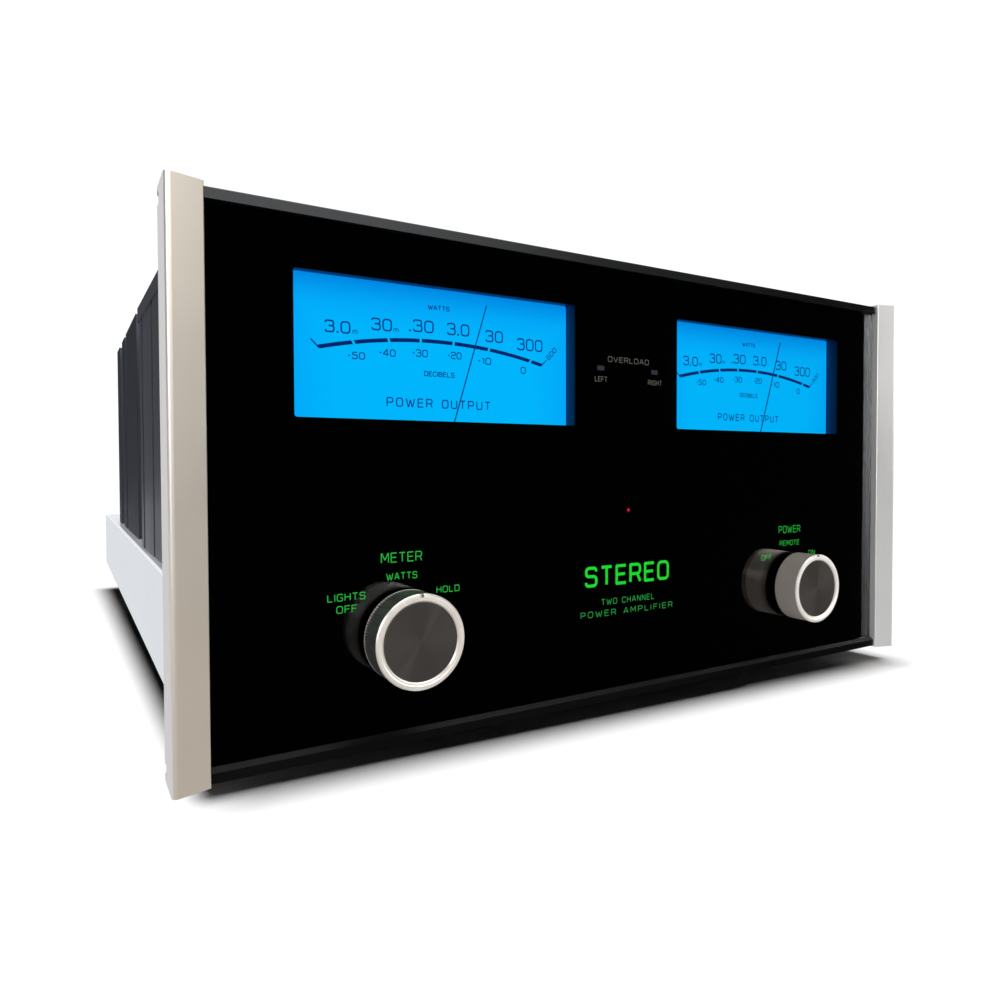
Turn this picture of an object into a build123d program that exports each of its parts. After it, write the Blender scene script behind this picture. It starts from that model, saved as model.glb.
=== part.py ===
from build123d import *
import os, math

os.makedirs("parts", exist_ok=True)

# ---------------------------------------------------------------- driving dimensions (mm)
WIDTH = 444.5            # over the end caps, the 17.5 in audio component width
CAP_H = 226.4            # height of the end caps
FOOT_DROP = 13.3         # how far the feet reach below the end caps
CAP_W = 14.05            # width of an end cap seen from the front
CAP_D = 21.5             # depth of an end cap
CAP_SCREW_Y = 18.9       # side screws, near the back edge of each cap
CAP_RAKE = 4.4           # the inner front edge of a cap sits this much further back
TRIM_Y = 5.54            # front plane of the top and bottom trims
TRIM_BACK = 15.6
TRIM_H = 4.3
TOP_TRIM_Z = 225.0       # top of the top trim
BOT_TRIM_Z = 0.8         # bottom of the bottom trim
BOT_TRIM_H = 5.7
GLASS_Y = 8.0            # outer surface of the glass
GLASS_T = 3.2
GLASS_HX = 207.6
WIN_X0, WIN_X1 = 34.2, 174.0      # meter window, distance from the centre line
WIN_Z0, WIN_Z1 = 141.0, 200.8
DIAL_Y = 20.0            # front of the meter dials
METER_X = (WIN_X0 + WIN_X1) / 2
PIVOT_Z = 112.0          # needle pivot height
NEEDLE_R = 88.6          # needle length from its pivot
NEEDLE_DEG = 17.3        # needle angle shown
NEEDLE_DX = -3.4         # the movement sits this far to the left of its window's middle
KNOB_X, KNOB_Z = 128.0, 48.2
KNOB_R = 20.1
KNOB_FRONT, KNOB_BACK = -10.4, 4.9
SHAFT_R = 3.0
LAMP_X, LAMP_Z = 18.1, 170.8
LED_Z = 97.8
RAIL_X = 220.25          # outer face of the chassis sides
RIM_T = 0.9              # thickness of the bottom cover's rim
RAIL_Y0 = 22.0           # front end of the chassis tray, just behind the caps
RAIL_Z0, RAIL_Z1 = 30.2, 76.8
CH_BACK = 500.0          # rear end of the chassis
SHEET = 1.6
DECK_Z = RAIL_Z1         # top of the deck
HS_BOT = 76.9
HS_IN, HS_BASE = 160.0, 8.0      # inner face and base thickness of the heatsinks
HS_F_OUT, HS_F_TOP = 217.8, 208.4
LIP_H = 7.6
HS_R_OUT, HS_R_TOP = 215.1, 214.4
POST_X = (98.0, 124.0)   # binding post centres
CONN_Z = 53.2
REAR_MOST = 530.4        # end of the binding post nuts
YC = (KNOB_FRONT + REAR_MOST) / 2    # brings the origin to the middle of the depth


def P(y):
    return y - YC


def Q(z):
    return z + FOOT_DROP


def box(x0, x1, y0, y1, z0, z1):
    """Block between two corners, in panel coordinates."""
    return Pos((x0 + x1) / 2, P((y0 + y1) / 2), Q((z0 + z1) / 2)) * Box(abs(x1 - x0), abs(y1 - y0), abs(z1 - z0))


def cyl_y(x, z, r, y0, y1):
    return Pos(x, P((y0 + y1) / 2), Q(z)) * Rot(90, 0, 0) * Cylinder(r, abs(y1 - y0))


def cyl_z(x, y, r, z0, z1):
    return Pos(x, P(y), Q((z0 + z1) / 2)) * Cylinder(r, abs(z1 - z0))


def cyl_x(y, z, r, x0, x1):
    return Pos((x0 + x1) / 2, P(y), Q(z)) * Rot(0, 90, 0) * Cylinder(r, abs(x1 - x0))


def prism_z(pts, z0, z1):
    """Plan outline (x, y) raised between two heights."""
    wire = Polyline(*[(x, P(y), Q(z0)) for x, y in pts], close=True)
    return extrude(make_face(wire), amount=z1 - z0, dir=(0, 0, 1))


def prism_y(pts, y0, y1):
    """Outline (x, z) run back between two depths."""
    wire = Polyline(*[(x, P(y0), Q(z)) for x, z in pts], close=True)
    return extrude(make_face(wire), amount=y1 - y0, dir=(0, 1, 0))


def prism_x(pts, x0, x1):
    """Outline (y, z) run sideways."""
    wire = Polyline(*[(x0, P(y), Q(z)) for y, z in pts], close=True)
    return extrude(make_face(wire), amount=x1 - x0, dir=(1, 0, 0))


def rbox_y(x0, x1, y0, y1, z0, z1, r):
    """Block with its four long edges along Y rounded."""
    b = box(x0, x1, y0, y1, z0, z1)
    return fillet(b.edges().filter_by(Axis.Y), r)


def rbox_z(x0, x1, y0, y1, z0, z1, r):
    b = box(x0, x1, y0, y1, z0, z1)
    return fillet(b.edges().filter_by(Axis.Z), r)


def mirror_x(s):
    return mirror(s, about=Plane.YZ)


def ring_y(x, z, profile):
    """Turned piece about an axis along Y: profile is (radius, depth) points."""
    wire = Polyline(*[(r, y, 0) for r, y in profile], close=True)
    body = revolve(make_face(wire), axis=Axis.Y)
    return Pos(x, -YC, Q(z)) * body


def turned_z(x, y, profile):
    """Turned piece about a vertical axis: profile is (radius, height) points."""
    wire = Polyline(*[(r, 0, z) for r, z in profile], close=True)
    body = revolve(make_face(wire), axis=Axis.Z)
    return Pos(x, P(y), FOOT_DROP) * body


PIECES = {}


def keep(name, *shapes):
    solids = []
    for s in shapes:
        solids += list(s.solids())
    PIECES[name] = solids[0] if len(solids) == 1 else Compound(children=solids)


SCREWS = []


def screw(axis, x, y, z, r_head=2.8, h_head=1.6, r_shank=1.3, l_shank=2.6, out=1):
    """Pan-head screw seated on a face at (x, y, z); out gives the side its head is on."""
    if axis == "y":
        s = cyl_y(x, z, r_head, y, y + out * h_head) + cyl_y(x, z, r_shank, y - out * l_shank, y)
        s -= cyl_y(x, z, 1.0, y + out * (h_head - 0.8), y + out * (h_head + 1))
    elif axis == "z":
        s = cyl_z(x, y, r_head, z, z + out * h_head) + cyl_z(x, y, r_shank, z - out * l_shank, z)
        s -= cyl_z(x, y, 1.0, z + out * (h_head - 0.8), z + out * (h_head + 1))
    else:
        s = cyl_x(y, z, r_head, x, x + out * h_head) + cyl_x(y, z, r_shank, x - out * l_shank, x)
        s -= cyl_x(y, z, 1.0, x + out * (h_head - 0.8), x + out * (h_head + 1))
    SCREWS.append(s)


# ---------------------------------------------------------------- end caps
HX = WIDTH / 2
cap_pts = [(-HX, 0), (-HX + CAP_W, CAP_RAKE), (-HX + CAP_W, CAP_D), (-HX, CAP_D)]
cap = prism_z(cap_pts, 0, CAP_H)
front_edge = cap.edges().filter_by(Axis.Z).sort_by(lambda e: e.center().X * 0.3 + e.center().Y)[0]
cap = fillet(front_edge, 1.8)
inner_edge = [e for e in cap.edges().filter_by(Axis.Z) if abs(e.center().X - (-HX + CAP_W)) < 0.01 and e.center().Y < P(CAP_RAKE) + 0.1]
cap = fillet(inner_edge, 0.5)
back_edges = [e for e in cap.edges().filter_by(Axis.Z) if e.center().Y > P(CAP_D) - 0.1]
cap = chamfer(back_edges, 0.5)
# counterbores for the side screws, and a rebate along the inner back edge for the subframe flange
for zc in (4.6, CAP_H - 4.6):
    cap -= cyl_x(CAP_SCREW_Y, zc, 2.9, -HX - 1, -HX + 2.4)
    cap -= cyl_x(CAP_SCREW_Y, zc, 1.55, -HX - 1, -HX + CAP_W + 1)
keep("end_cap_left", cap)
keep("end_cap_right", mirror_x(cap))
for sx in (-1, 1):
    for zc in (4.6, CAP_H - 4.6):
        head = cyl_x(CAP_SCREW_Y, zc, 2.4, sx * (HX - 2.4), sx * (HX - 0.5))
        head += cyl_x(CAP_SCREW_Y, zc, 1.4, sx * (HX - 11.0), sx * (HX - 2.4))
        head -= cyl_x(CAP_SCREW_Y, zc, 1.3, sx * (HX - 1.6), sx * (HX + 1))
        SCREWS.append(head)

# ---------------------------------------------------------------- trims, glass, mask
TRIM_HX = HX - CAP_W - 0.25
top_z1, top_z0 = TOP_TRIM_Z, TOP_TRIM_Z - TRIM_H
top = prism_x([(TRIM_Y, top_z0), (TRIM_Y, top_z1 - 0.4), (TRIM_Y + 0.4, top_z1), (TRIM_BACK, top_z1), (TRIM_BACK, top_z0)], -TRIM_HX, TRIM_HX)
keep("top_trim", top)
bz0, bz1 = BOT_TRIM_Z, BOT_TRIM_Z + BOT_TRIM_H
# its top slopes up to the glass
bot = prism_x([(TRIM_Y, bz0 + 0.35), (TRIM_Y, bz1 - 1.6), (GLASS_Y, bz1), (TRIM_BACK, bz1), (TRIM_BACK, bz0), (TRIM_Y + 0.35, bz0)], -TRIM_HX, TRIM_HX)
keep("bottom_trim", bot)

glass = box(-GLASS_HX, GLASS_HX, GLASS_Y, GLASS_Y + GLASS_T, bz1 + 0.15, top_z0 - 0.15)
glass = chamfer(glass.edges().filter_by(Axis.X).group_by(Axis.Y)[0], 0.3)
for sx in (-1, 1):
    glass -= cyl_y(sx * KNOB_X, KNOB_Z, 5.2, GLASS_Y - 1, GLASS_Y + GLASS_T + 1)
keep("front_glass", glass)

MASK_Y0, MASK_Y1 = 11.5, 12.3
mask = box(-GLASS_HX, GLASS_HX, MASK_Y0, MASK_Y1, bz1 + 0.15, top_z0 - 0.15)
for sx in (-1, 1):
    a, b = sorted((sx * WIN_X0, sx * WIN_X1))
    mask -= rbox_y(a, b, MASK_Y0 - 1, MASK_Y1 + 1, WIN_Z0, WIN_Z1, 1.2)
    mask -= cyl_y(sx * KNOB_X, KNOB_Z, 5.2, MASK_Y0 - 1, MASK_Y1 + 1)
    mask -= box(sx * LAMP_X - 2.4, sx * LAMP_X + 2.4, MASK_Y0 - 1, MASK_Y1 + 1, LAMP_Z - 1.25, LAMP_Z + 1.25)
mask -= cyl_y(0, LED_Z, 1.35, MASK_Y0 - 1, MASK_Y1 + 1)
keep("glass_mask", mask)

# ---------------------------------------------------------------- subframe behind the glass
SF0, SF1 = 15.8, 18.8
SF_HX = HX - CAP_W - 0.3
sub = box(-SF_HX, SF_HX, SF0, SF1, 2.0, 224.6)
for sx in (-1, 1):
    a, b = sorted((sx * (METER_X - 73.2), sx * (METER_X + 73.2)))
    sub -= box(a, b, SF0 - 1, SF1 + 1, 100.6, 204.4)
    sub -= cyl_y(sx * KNOB_X, KNOB_Z, 4.9, SF0 - 1, SF1 + 1)
    sub -= box(sx * LAMP_X - 3.6, sx * LAMP_X + 3.6, SF0 - 1, SF1 + 1, LAMP_Z - 2.6, LAMP_Z + 2.6)
    # side flange that the end cap is screwed to, with tapped holes
    fl = box(sx * (SF_HX - 3.0), sx * SF_HX, SF1, 30.0, 82.0, 205.0)
    sub += fl
sub -= cyl_y(0, LED_Z, 2.3, SF0 - 1, SF1 + 1)
# lower fixing lugs against the chassis sides
for sx in (-1, 1):
    for xx in (60.0, 190.0):
        sub -= cyl_y(sx * xx, 52.0, 1.6, SF0 - 1, SF1 + 1)
keep("front_subframe", sub)

# light guide that carries green light to the panel legends
lg = box(-172, 172, 12.5, 15.5, 30, 92)
for sx in (-1, 1):
    lg -= cyl_y(sx * KNOB_X, KNOB_Z, 9.2, 12, 16)
lg = chamfer(lg.edges().filter_by(Axis.Y), 2.0)
keep("legend_light_guide", lg)

# two clip lamps and the standby lamp, each a moulded lens behind the mask
lamps = []
for sx in (-1, 1):
    l = box(sx * LAMP_X - 2.2, sx * LAMP_X + 2.2, 11.6, 20.0, LAMP_Z - 1.05, LAMP_Z + 1.05)
    l += box(sx * LAMP_X - 3.4, sx * LAMP_X + 3.4, 12.5, 14.0, LAMP_Z - 2.4, LAMP_Z + 2.4)
    lamps.append(l)
led = cyl_y(0, LED_Z, 1.2, 11.6, 22.0) + cyl_y(0, LED_Z, 2.1, 12.5, 15.0)
keep("indicator_lamps", *lamps, led)

# ---------------------------------------------------------------- meters


def meter(sx, side):
    mx = sx * METER_X
    h = box(mx - 72.4, mx + 72.4, 12.5, 46.0, 101.5, 203.9)
    h -= box(mx - 70.4, mx + 70.4, 12.0, 44.0, 103.5, 202.1)
    h = fillet(h.edges().filter_by(Axis.Y).group_by(SortBy.LENGTH)[-1], 1.5)
    # wire slot at the back
    h -= box(mx - 8, mx + 8, 43, 47, 150, 156)
    keep("meter_housing_" + side, h)
    d = box(mx - 70.1, mx + 70.1, DIAL_Y, DIAL_Y + 1.5, 128.0, 201.8)
    d = fillet(d.edges().filter_by(Axis.Y), 1.0)
    keep("meter_dial_" + side, d)
    # moving-coil movement: magnet block with a bore for the staff, and a rear bridge
    px = mx + NEEDLE_DX
    m = box(px - 15, px + 15, 23.0, 40.0, 104.0, 124.0)
    m += box(px - 22, px + 22, 40.0, 43.6, 104.0, 122.0)
    m -= cyl_y(px, PIVOT_Z, 0.85, 20, 44.5)
    m -= box(px - 8, px + 8, 26.0, 37.0, 117.0, 125.0)
    keep("meter_movement_" + side, m)
    # needle: staff, hub, tapered arm and balance tail, turned to the reading shown
    arm = prism_y([(px - 0.28, PIVOT_Z + 1.0), (px + 0.28, PIVOT_Z + 1.0), (px + 0.2, PIVOT_Z + NEEDLE_R), (px - 0.2, PIVOT_Z + NEEDLE_R)], 18.2, 18.6)
    tail = box(px - 1.1, px + 1.1, 18.0, 18.9, PIVOT_Z - 7.0, PIVOT_Z - 0.5)
    hub = cyl_y(px, PIVOT_Z, 2.4, 17.4, 19.8)
    staff = cyl_y(px, PIVOT_Z, 0.8, 17.4, 42.0)
    n = hub + staff + arm + tail
    n = n.rotate(Axis((px, 0, Q(PIVOT_Z)), (0, 1, 0)), NEEDLE_DEG)
    keep("needle_" + side, n)
    lamp = box(mx - 60, mx + 60, 26.0, 27.6, 186.0, 194.0)
    for k in range(7):
        lamp += box(mx - 51 + 16 * k - 1.7, mx - 51 + 16 * k + 3.3, 24.2, 26.0, 187.8, 192.2)
    return lamp


bars = [meter(-1, "left"), meter(1, "right")]
keep("meter_lamp_bars", *bars)

# ---------------------------------------------------------------- knobs and switches


def knob(sx, name, fluted):
    kx = sx * KNOB_X
    prof = [(0, KNOB_BACK), (KNOB_R - 0.9, KNOB_BACK), (KNOB_R - 0.25, KNOB_BACK - 0.7),
            (KNOB_R - 0.25, KNOB_FRONT + 1.6), (KNOB_R, KNOB_FRONT + 1.4), (KNOB_R, KNOB_FRONT + 0.55),
            (KNOB_R - 0.5, KNOB_FRONT), (18.2, KNOB_FRONT), (17.9, KNOB_FRONT + 0.12), (17.3, KNOB_FRONT + 0.12),
            (16.65, KNOB_FRONT + 0.7), (16.65, KNOB_FRONT + 2.2), (0, KNOB_FRONT + 2.2)]
    k = ring_y(kx, KNOB_Z, prof)
    k -= cyl_y(kx, KNOB_Z, SHAFT_R, KNOB_BACK - 10.5, KNOB_BACK + 1)
    # pointer notch at the top of the front ring
    k -= box(kx - 1.0, kx + 1.0, KNOB_FRONT - 1, KNOB_FRONT + 1.6, KNOB_Z + 18.6, KNOB_Z + 21)
    if fluted:
        # fine straight flutes round the grip
        n = 96
        cutters = []
        ro = KNOB_R + 0.3
        pts = []
        for i in range(n):
            a0 = 2 * math.pi * i / n
            da = 2 * math.pi / n
            for f, rr in ((0.0, KNOB_R - 0.62), (0.5, KNOB_R - 0.2)):
                a = a0 + da * f
                pts.append((kx + rr * math.sin(a), KNOB_Z + rr * math.cos(a)))
        star = prism_y(pts, KNOB_FRONT + 1.9, KNOB_BACK - 0.9)
        band = ring_y(kx, KNOB_Z, [(16.0, KNOB_FRONT + 1.9), (ro, KNOB_FRONT + 1.9), (ro, KNOB_BACK - 0.9), (16.0, KNOB_BACK - 0.9)])
        k -= (band - star)
    keep(name, k)
    f = ring_y(kx, KNOB_Z, [(0, KNOB_FRONT + 0.62), (16.3, KNOB_FRONT + 0.62), (16.55, KNOB_FRONT + 0.85), (16.55, KNOB_FRONT + 2.2), (0, KNOB_FRONT + 2.2)])
    keep(name + "_face", f)
    s = cyl_y(kx, KNOB_Z, SHAFT_R, KNOB_BACK - 10.4, 36.0)
    keep(name + "_shaft", s)


knob(-1, "meter_knob", True)
knob(1, "power_knob", False)


def rotary_switch(sx, name):
    kx = sx * KNOB_X
    b = rbox_y(kx - 14, kx + 14, 21.4, 38.0, KNOB_Z - 14, KNOB_Z + 14, 3.0)
    b += cyl_y(kx, KNOB_Z, 4.6, 9.0, 21.4)
    b += cyl_y(kx, KNOB_Z, 9.0, 19.0, 21.4)
    # hexagon nut on the bush, clamping the panel
    hexa = [(kx + 8.0 * math.cos(math.radians(60 * i)), KNOB_Z + 8.0 * math.sin(math.radians(60 * i))) for i in range(6)]
    b += prism_y(hexa, 13.2, 15.6)
    b -= cyl_y(kx, KNOB_Z, SHAFT_R + 0.05, 8.0, 36.4)
    # solder tags
    for i in range(6):
        a = math.radians(30 + 60 * i)
        b += box(kx + 10 * math.cos(a) - 1.2, kx + 10 * math.cos(a) + 1.2, 38.0, 43.0, KNOB_Z + 10 * math.sin(a) - 0.4, KNOB_Z + 10 * math.sin(a) + 0.4)
    keep(name, b)


rotary_switch(-1, "meter_switch")
rotary_switch(1, "power_switch")

# ---------------------------------------------------------------- chassis
tray = box(-RAIL_X, RAIL_X, RAIL_Y0, CH_BACK, RAIL_Z0, RAIL_Z1)
tray = fillet(tray.edges().filter_by(Axis.Y), 2.4)
inner = box(-RAIL_X + SHEET, RAIL_X - SHEET, 19.0, CH_BACK + 1, RAIL_Z0 + SHEET, RAIL_Z1 - SHEET)
inner = fillet(inner.edges().filter_by(Axis.Y), 0.8)
tray -= inner
tray -= box(-204, 204, 19.0, CH_BACK + 1, RAIL_Z1 - 3, RAIL_Z1 + 1)
# round the rear top corner of each side
for sx in (-1, 1):
    cutter = box(sx * 218.0, sx * 222.0, CH_BACK - 5, CH_BACK + 1, RAIL_Z1 - 5, RAIL_Z1 + 1)
    cutter -= cyl_x(CH_BACK - 5, RAIL_Z1 - 5, 5.0, sx * 217.0, sx * 223.0)
    tray -= cutter
# access opening in the floor, closed by the bottom cover
tray -= box(-150, 150, 60, 455, RAIL_Z0 - 1, RAIL_Z0 + 3)
for sx in (-1, 1):
    for yy in (46.0, 165.0, 350.0, 470.0):
        tray -= cyl_z(sx * 174.0, yy, 1.5, RAIL_Z0 - 1, RAIL_Z0 + 2)
keep("chassis_tray", tray)

cover = box(-170, 170, 36, 480, 8.6, RAIL_Z0)
cover = fillet(cover.edges().group_by(Axis.Z)[0], 3.0)
# the cover's rim reaches the edges of the tray and shows as a thin dark line under its sides
cover += box(-219.2, 219.2, RAIL_Y0 + 1.5, CH_BACK - 1.5, RAIL_Z0 - RIM_T, RAIL_Z0)
cover -= box(-168.8, 168.8, 37.2, 478.8, 9.8, RAIL_Z0 + 1)
for sx in (-1, 1):
    for yy in (46.0, 165.0, 350.0, 470.0):
        cover -= cyl_z(sx * 174.0, yy, 1.5, RAIL_Z0 - 2, RAIL_Z0 + 1)
        screw("z", sx * 174.0, yy, RAIL_Z0 - RIM_T, out=-1)
for j in range(4):
    for i in range(12):
        xx = -99 + 18 * i
        yy = 130 + 80 * j
        cover -= box(xx - 2, xx + 2, yy - 20, yy + 20, 8, 11)
FEET = [("foot_front_left", -138.0, 66.0), ("foot_front_right", 138.0, 66.0), ("foot_rear_left", -138.0, 446.0), ("foot_rear_right", 138.0, 446.0)]
for name, fx, fy in FEET:
    cover -= cyl_z(fx, fy, 2.6, 8, 11)
keep("bottom_cover", cover)

for name, fx, fy in FEET:
    foot = turned_z(fx, fy, [(2.7, -5.0), (7.0, -5.0), (7.0, -FOOT_DROP + 0.6), (8.0, -FOOT_DROP), (19.5, -FOOT_DROP), (21.0, -FOOT_DROP + 1.5), (22.5, 8.0), (21.9, 8.6), (2.7, 8.6)])
    keep(name, foot)
    s = cyl_z(fx, fy, 5.2, -8.0, -5.0) + cyl_z(fx, fy, 2.5, -5.0, 13.0)
    s -= cyl_z(fx, fy, 1.6, -9.0, -6.6)
    SCREWS.append(s)

deck = box(-203.7, 203.7, 24.0, 497.0, 73.6, DECK_Z) + box(-216.0, 216.0, 24.0, 497.0, 73.6, RAIL_Z1 - SHEET - 0.1)
# ventilation slots behind the heatsinks and under the fins
for sx in (-1, 1):
    for i in range(7):
        yy = 398 + 13 * i
        a, b = sorted((sx * 60, sx * 186))
        deck -= box(a, b, yy - 2.5, yy + 2.5, 73, 78)
keep("deck_plate", deck)

# ---------------------------------------------------------------- rear panel and connectors
RP0, RP1 = 497.6, 499.4
XLR_X, RCA_X = 52.0, 24.0
INLET_X = -172.0
rear = box(-RAIL_X + SHEET + 0.3, RAIL_X - SHEET - 0.3, RP0, RP1, RAIL_Z0 + SHEET + 0.3, RAIL_Z1 - SHEET - 0.4)
for sx in (-1, 1):
    for px in POST_X:
        rear -= cyl_y(sx * px, CONN_Z, 5.2, RP0 - 1, RP1 + 1)
    rear -= cyl_y(sx * XLR_X, CONN_Z, 11.9, RP0 - 1, RP1 + 1)
    rear -= cyl_y(sx * RCA_X, CONN_Z, 4.6, RP0 - 1, RP1 + 1)
    # room for the latch tab to be pressed in
    rear -= box(sx * XLR_X - 3.3, sx * XLR_X + 3.3, RP0 - 1, RP1 + 1, CONN_Z + 9.4, CONN_Z + 14.5)
    for dx, dz in ((-9.5, 12.0), (9.5, -12.0)):
        rear -= cyl_y(sx * XLR_X + dx, CONN_Z + dz, 1.5, RP0 - 1, RP1 + 1)
rear -= box(INLET_X - 13.9, INLET_X + 13.9, RP0 - 1, RP1 + 1, CONN_Z - 16.5, CONN_Z + 16.5)
for dx in (-20, 20):
    rear -= cyl_y(INLET_X + dx, CONN_Z, 1.6, RP0 - 1, RP1 + 1)
for xx in (-208, -80, 80, 208):
    rear -= cyl_y(xx, 70.0, 1.5, RP0 - 1, RP1 + 1)
    screw("y", xx, RP1, 70.0, r_head=2.6)
keep("rear_panel", rear)

# binding posts: insulated base, stud and rear flange; the nuts turn on the studs
posts = []
nut_i = {}
for sx, side in ((-1, "left"), (1, "right")):
    for px, lab in ((POST_X[0], "common"), (POST_X[1], "output")):
        x = sx * px
        b = ring_y(x, CONN_Z, [(0, 486.0), (3.0, 486.0), (3.0, 491.0), (8.0, 491.0), (8.0, 497.6), (5.0, 497.6), (5.0, 499.4), (8.2, 499.4), (8.2, 504.0), (7.4, 505.0), (5.6, 505.0), (5.6, 507.0), (3.0, 507.0), (3.0, 517.0), (0, 517.0)])
        posts.append(b)
        k = ring_y(x, CONN_Z, [(3.06, 507.3), (7.2, 507.3), (7.8, 508.0), (7.8, 515.0), (7.2, 516.2), (7.2, 528.6), (6.4, REAR_MOST), (2.1, REAR_MOST), (2.1, 518.4), (3.06, 517.6)])
        # flats and finger flutes on the skirt
        for i in range(12):
            a = math.radians(30 * i)
            k -= cyl_y(x + 8.3 * math.cos(a), CONN_Z + 8.3 * math.sin(a), 1.0, 507.0, 515.4)
        keep("binding_post_nut_%s_%s" % (side, lab), k)
keep("binding_post_bases", *posts)

# mains inlet with a recess for the plug and a fuse drawer under it
IN_Z = CONN_Z + 3.6
inl = rbox_y(INLET_X - 25, INLET_X + 25, RP1, RP1 + 2.6, CONN_Z - 18.0, CONN_Z + 18.0, 5.0)
inl += box(INLET_X - 13.6, INLET_X + 13.6, 472.0, RP1 + 0.1, CONN_Z - 16.2, CONN_Z + 16.2)
# plug recess
rec = box(INLET_X - 12.2, INLET_X + 12.2, 482.0, RP1 + 4, IN_Z - 5.6, IN_Z + 11.2)
rec = chamfer(rec.edges().filter_by(Axis.Y).group_by(Axis.Z)[-1], 4.0)
inl -= rec
# drawer slot
inl -= box(INLET_X - 10.3, INLET_X + 10.3, 476.0, RP1 + 4, CONN_Z - 14.6, CONN_Z - 5.4)
for dx in (-20, 20):
    inl -= cyl_y(INLET_X + dx, CONN_Z, 1.7, RP1 - 1, RP1 + 4)
    screw("y", INLET_X + dx, RP1 + 2.6, CONN_Z, l_shank=4.2)
for dx, dz in ((-7.0, 0.0), (0.0, 4.6), (7.0, 0.0)):
    inl += box(INLET_X + dx - 1.0, INLET_X + dx + 1.0, 481.9, 496.6, IN_Z + dz - 2.2, IN_Z + dz + 2.2)
    inl += box(INLET_X + dx - 2.4, INLET_X + dx + 2.4, 462.0, 472.0, IN_Z + dz - 0.4, IN_Z + dz + 0.4)
keep("mains_inlet", inl)
drawer = box(INLET_X - 10.1, INLET_X + 10.1, 477.0, RP1 + 2.2, CONN_Z - 14.4, CONN_Z - 5.6)
drawer -= box(INLET_X - 8.2, INLET_X + 8.2, 478.4, 496.0, CONN_Z - 12.8, CONN_Z - 5.0)
drawer += cyl_x(487.0, CONN_Z - 9.9, 2.4, INLET_X - 8.2, INLET_X + 8.2)
drawer += box(INLET_X - 10.1, INLET_X + 10.1, RP1 + 2.2, RP1 + 4.4, CONN_Z - 14.4, CONN_Z - 5.6)
drawer -= box(INLET_X - 4, INLET_X + 4, RP1 + 2.9, RP1 + 5, CONN_Z - 7.4, CONN_Z - 5.0)
keep("fuse_drawer", drawer)

# balanced input sockets with their latch tabs
sockets = []
for sx, side in ((-1, "left"), (1, "right")):
    x = sx * XLR_X
    s = rbox_y(x - 13.0, x + 13.0, RP1, RP1 + 2.0, CONN_Z - 15.5, CONN_Z + 15.5, 3.0)
    s += cyl_y(x, CONN_Z, 11.6, 476.0, RP1 + 0.1)
    s -= cyl_y(x, CONN_Z, 9.7, 484.0, RP1 + 4)
    core = cyl_y(x, CONN_Z, 7.6, 483.9, RP1 - 1.0)
    for dx, dz in ((-3.6, 1.6), (3.6, 1.6), (0.0, -3.6)):
        core -= cyl_y(x + dx, CONN_Z + dz, 1.3, 486.0, RP1)
        s += cyl_y(x + dx, CONN_Z + dz, 0.9, 468.0, 476.0)
    s += core
    s -= box(x - 2.9, x + 2.9, RP1 - 3.5, RP1 + 4, CONN_Z + 9.0, CONN_Z + 14.2)
    for dx, dz in ((-9.5, 12.0), (9.5, -12.0)):
        s -= cyl_y(x + dx, CONN_Z + dz, 1.5, RP1 - 1, RP1 + 4)
        screw("y", x + dx, RP1 + 2.0, CONN_Z + dz, r_head=2.3, l_shank=3.6)
    sockets.append(s)
    t = box(x - 2.6, x + 2.6, RP1 + 0.4, RP1 + 3.4, CONN_Z + 10.2, CONN_Z + 13.8)
    t = fillet(t.edges().group_by(Axis.Y)[-1], 0.5)
    keep("xlr_latch_" + side, t)
keep("xlr_sockets", *sockets)

# unbalanced input sockets: nut, insulator and tip contact in one turned piece each
rcas = []
for sx in (-1, 1):
    x = sx * RCA_X
    s = ring_y(x, CONN_Z, [(0, 480.0), (1.6, 480.0), (1.6, 488.0), (4.4, 488.0), (4.4, 499.4), (7.0, 499.4), (7.0, 501.4), (4.15, 501.4), (4.15, 511.4), (3.4, 511.4), (3.4, 502.5), (1.65, 502.5), (1.65, 499.6), (0, 499.6)])
    rcas.append(s)
keep("rca_sockets", *rcas)

# ---------------------------------------------------------------- heatsinks
FRONT_Y0, FRONT_Y1 = 50.0, 168.0
REAR_Y0, REAR_Y1 = 214.0, 385.0
CLUSTERS = ((214.0, 293.0), (307.0, 332.0), (360.0, 385.0))
FIN_T, FIN_PITCH = 3.0, 7.6


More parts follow.
